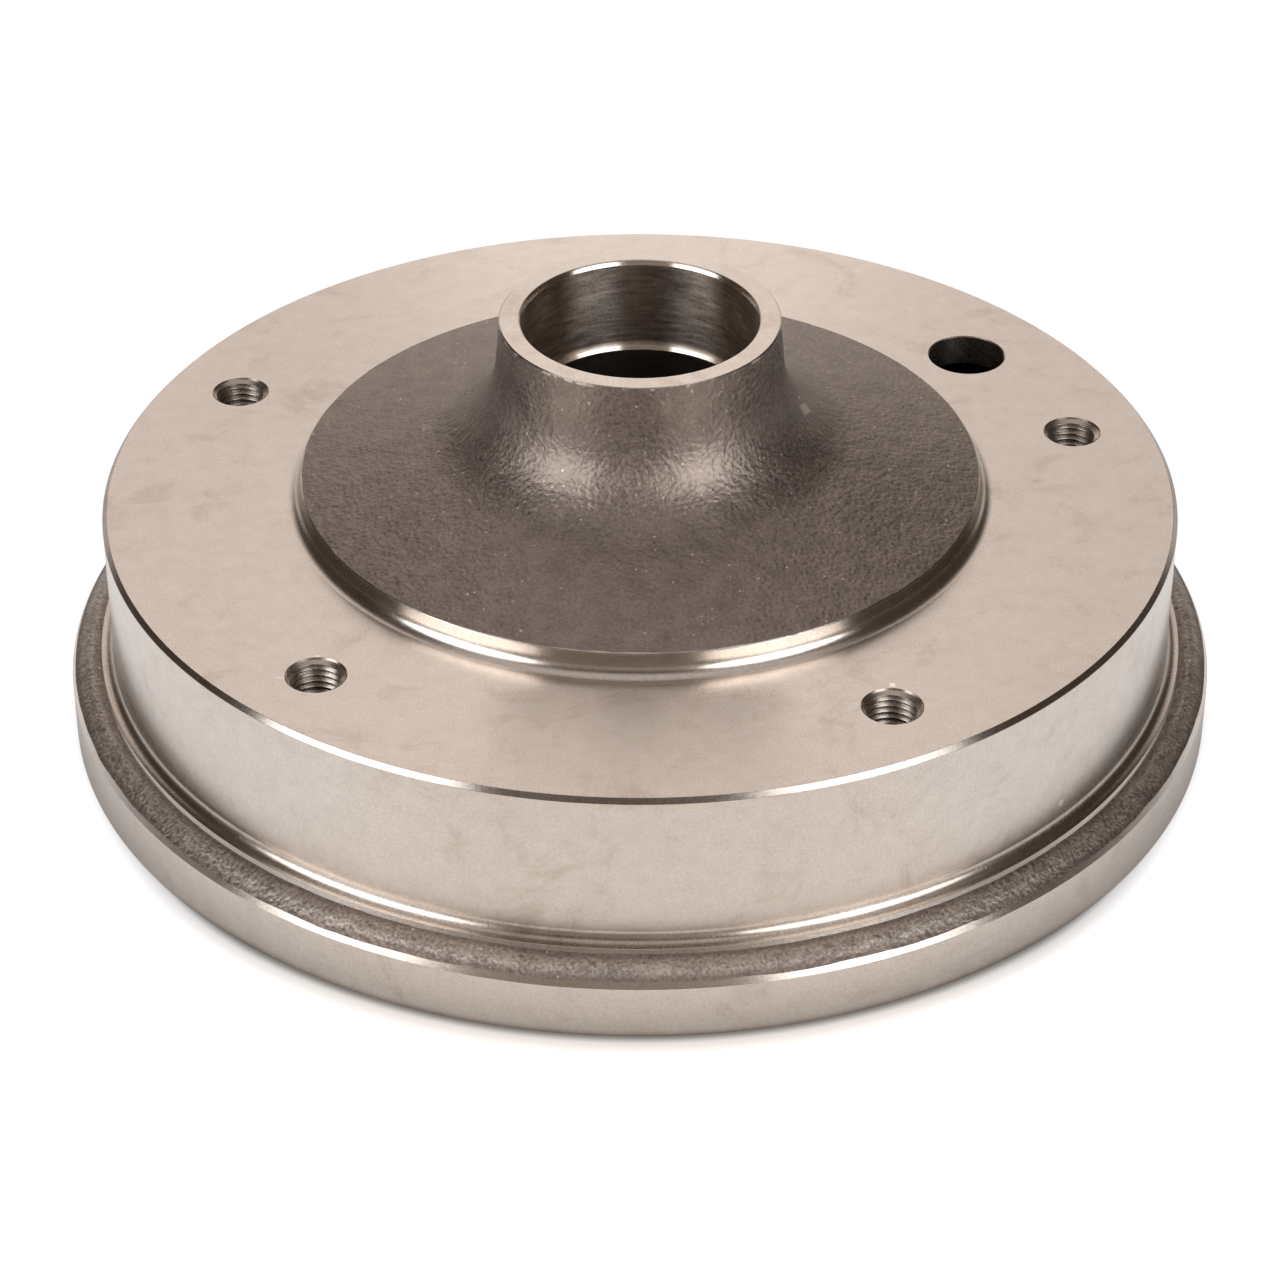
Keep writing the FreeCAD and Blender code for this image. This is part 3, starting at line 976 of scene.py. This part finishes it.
# %% Floor
floor_reach = 4.0
in_front_span = {"From Min": -0.35, "From Max": -0.8}
nearest_span = {"From Min": -0.6, "From Max": -0.97}
side_shade = 4.5
painted_shadow_span = (0.3, 2.0)
seen_fade = (-2, 6)
mirrored_fade = (-4, 18)
lit_ring = {"From Min": 0.21, "From Max": 0.28, "To Min": 0.62, "To Max": 0.15}
seen_glow = 0.76
cool_light = (0.99, 1.0, 1.02, 1)
warm_light = (1.0, 0.93, 0.88, 1)

floor_corners = [(x * floor_reach, y * floor_reach, 0) for x, y in ((-1, -1), (1, -1), (1, 1), (-1, 1))]
floor_mesh = bpy.data.meshes.new("floor")
floor_mesh.from_pydata(floor_corners, [], [(0, 1, 2, 3)])
floor = bpy.data.objects.new("floor", floor_mesh)
bpy.context.scene.collection.objects.link(floor)
floor_paint, table, table_shader, table_place = material("lit_white_table")
table_level, table_radius = round_axle(table, table_place)
depth = add(table, "ShaderNodeSeparateXYZ", inputs={0: table_level})["Y"]
frontness = add(table, "ShaderNodeMath", DIVIDE, {0: depth, 1: table_radius})[0]
towards_us, nearest_us = [add(table, "ShaderNodeMapRange", SOFT_STEP, {
    "Value": frontness, **span})[0] for span in (in_front_span, nearest_span)]
widened = add(table, "ShaderNodeMapRange", inputs={
    "Value": towards_us, "To Min": side_shade * MM, "To Max": 0.0})[0]
shade_radius = add(table, "ShaderNodeMath", {"operation": "ADD"}, {
    0: table_radius, 1: widened})[0]
# Close to the rim a contact shadow is painted into the table: into its colour, into its glow as seen, and
# into its glow in the metal's mirror.
painted_shadow_fade, seen_edge, mirrored_edge = [add(table, "ShaderNodeMapRange", inputs={
    "Value": distance, "From Min": (flange_radius + near) * MM,
    "From Max": (flange_radius + far) * MM})[0]
    for distance, (near, far) in ((shade_radius, painted_shadow_span), (shade_radius, seen_fade),
                                  (table_radius, mirrored_fade))]
lit_table = add(table, "ShaderNodeMapRange", inputs={"Value": table_radius, **lit_ring})[0]
mirrored = add(table, "ShaderNodeMath", MULTIPLY, {0: lit_table, 1: mirrored_edge})[0]
looked_at = add(table, "ShaderNodeMath", MULTIPLY, {0: seen_edge, 1: seen_glow})[0]
seen = add(table, "ShaderNodeLightPath")["Is Camera Ray"]
strength = add(table, "ShaderNodeMix", NUMBERS, {"Factor": seen, 2: mirrored, 3: looked_at})[0]
glow = add(table, "ShaderNodeMix", COLOURS, {"Factor": nearest_us, 6: cool_light, 7: warm_light})[2]
# Painted contact shadow: the table's colour goes from dark brown at the rim to pale grey farther out.
painted_shadow_colour = add(table, "ShaderNodeMix", COLOURS, {
    "Factor": painted_shadow_fade, 6: linear("504B45"), 7: linear("BCBCBC")})[2]
table.links.new(strength, table_shader.inputs["Emission Strength"])
table.links.new(glow, table_shader.inputs["Emission Color"])
table.links.new(painted_shadow_colour, table_shader.inputs["Base Color"])
table_shader.inputs["Roughness"].default_value = 0.8
table_shader.inputs["Specular IOR Level"].default_value = 0.0
floor.data.materials.append(floor_paint)
print("table has", len(table.nodes), "nodes")

# %% [markdown]
# ## The room
#
# Bare metal is mostly a picture of the room, so the room is drawn by direction: a pale sweep behind the
# drum with a brighter strip low in its middle, the far table under it, a dim front between the
# softboxes, a grey ceiling, and darkness between them all, which draws the dark lines of the bores and
# edges. Big glowing cards could do the same, but a world with soft limits is quicker to sample and to
# shift. Seen directly it is white.

# %% World
dark_room = (0.06, 0.043, 0.032, 1)
sweep = (0.94, 0.855, 0.80, 1)
sweep_foot = (1.55, 1.46, 1.38, 1)
low_front = (0.36, 0.30, 0.255, 1)
ceiling = (0.62, 0.575, 0.545, 1)
far_table = (0.80, 0.76, 0.70, 1)
seen_white = (1, 1, 1, 1)
ceiling_lean = 3
sweep_turn = 4


def sine(degrees):
    """Sine of an angle in degrees."""
    return math.sin(math.radians(degrees))


def cosine(degrees):
    """Cosine of an angle in degrees."""
    return math.cos(math.radians(degrees))


world = bpy.data.worlds.new("studio")
bpy.context.scene.world = world
world.use_nodes = True
sky = world.node_tree
toward = add(sky, "ShaderNodeTexCoord")["Generated"]
toward_parts = add(sky, "ShaderNodeSeparateXYZ", inputs={0: toward})
flat_length = round_axle(sky, toward)[1]
backward = add(sky, "ShaderNodeMath", DIVIDE, {
    0: toward_parts["Y"], 1: flat_length})[0]
turned_back = add(sky, "ShaderNodeVectorMath", {"operation": "DOT_PRODUCT"}, {
    0: toward, 1: (-sine(sweep_turn), cosine(sweep_turn), 0)})["Value"]
to_sweep = add(sky, "ShaderNodeMath", DIVIDE, {0: turned_back, 1: flat_length})[0]
rising = toward_parts["Z"]
leaning_up = add(sky, "ShaderNodeVectorMath", {"operation": "DOT_PRODUCT"}, {
    0: toward, 1: (0, sine(ceiling_lean), cosine(ceiling_lean))})["Value"]

# Each light has limits, in degrees: it is full up to the first angle and gone by the second. Angles
# on the level are counted from straight behind.
lights = (
    (sweep, ((to_sweep, cosine, 8, 37),)),
    (sweep_foot, ((backward, cosine, 1, 7), (rising, sine, 25, 31.5))),
    (far_table, ((backward, cosine, 38, 56), (rising, sine, 5, 12))),
    (low_front, ((backward, cosine, 150, 125), (rising, sine, 34, 50), (rising, sine, 20, 0))),
    (ceiling, ((leaning_up, sine, 68, 56),)),
)
room = dark_room
for light, limits in lights:
    share = 1.0
    for value, function, full, gone in limits:
        limit = add(sky, "ShaderNodeMapRange", SOFT_STEP, {
            "Value": value, "From Min": function(gone), "From Max": function(full)})[0]
        share = add(sky, "ShaderNodeMath", MULTIPLY, {0: share, 1: limit})[0]
    room = add(sky, "ShaderNodeMix", COLOURS, {"Factor": share, 6: room, 7: light})[2]
looked_into = add(sky, "ShaderNodeLightPath")["Is Camera Ray"]
room = add(sky, "ShaderNodeMix", COLOURS, {"Factor": looked_into, 6: room, 7: seen_white})[2]
sky.links.new(room, sky.nodes["Background"].inputs["Color"])
print(len(lights), "pale areas in a dark room")

# %% [markdown]
# ## Softboxes and camera
#
# Two big round softboxes at the front left and the front right make the white lines on the edges and
# the two soft patches on the neck. They could be glowing discs, but area lights sample far better. A
# mirror shows how bright a lamp's face is, so its power is worked out from that and from its area. The
# camera looks down by 34 degrees, as the photo does.

# %% Softboxes
lamp_distance = 1.5
lamp_diameter = 1.13
lamp_light = 3.4
lamp_elevation = 30


def softbox(name, azimuth):
    """Round area light that faces the drum, with the brightness that its mirror image should have."""
    light = bpy.data.lights.new(name, "AREA")
    light.shape = "DISK"
    light.size = lamp_diameter
    light.energy = lamp_light * math.pi * math.pi * (lamp_diameter / 2) ** 2
    lamp = bpy.data.objects.new(name, light)
    direction = Vector((cosine(azimuth) * cosine(lamp_elevation), sine(azimuth) * cosine(lamp_elevation),
                        sine(lamp_elevation)))
    lamp.location = direction * lamp_distance
    lamp.rotation_euler = direction.to_track_quat("Z", "Y").to_euler()
    lamp.visible_camera = False
    bpy.context.scene.collection.objects.link(lamp)
    return lamp


softboxes = [softbox("left_softbox", 213), softbox("right_softbox", 314)]
print("softboxes of", round(softboxes[0].data.energy, 1), "W each")

# %% Camera
eye_back = 0.7109
eye_height = 0.4903
eye_tilt = 55.95
camera = bpy.data.cameras.new("camera")
camera.lens = 103.56
camera.sensor_width = 36
eye = bpy.data.objects.new("camera", camera)
eye.location = (0, -eye_back, eye_height)
eye.rotation_euler = (math.radians(eye_tilt), 0, 0)
bpy.context.scene.collection.objects.link(eye)
bpy.context.scene.camera = eye
bpy.context.scene.view_settings.view_transform = "Standard"
print("camera", round(eye.location.length, 3), "m from the middle of the rim")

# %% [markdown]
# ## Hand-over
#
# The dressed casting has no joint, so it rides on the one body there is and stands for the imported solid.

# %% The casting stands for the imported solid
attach(casting, "root")
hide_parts("brake_drum")
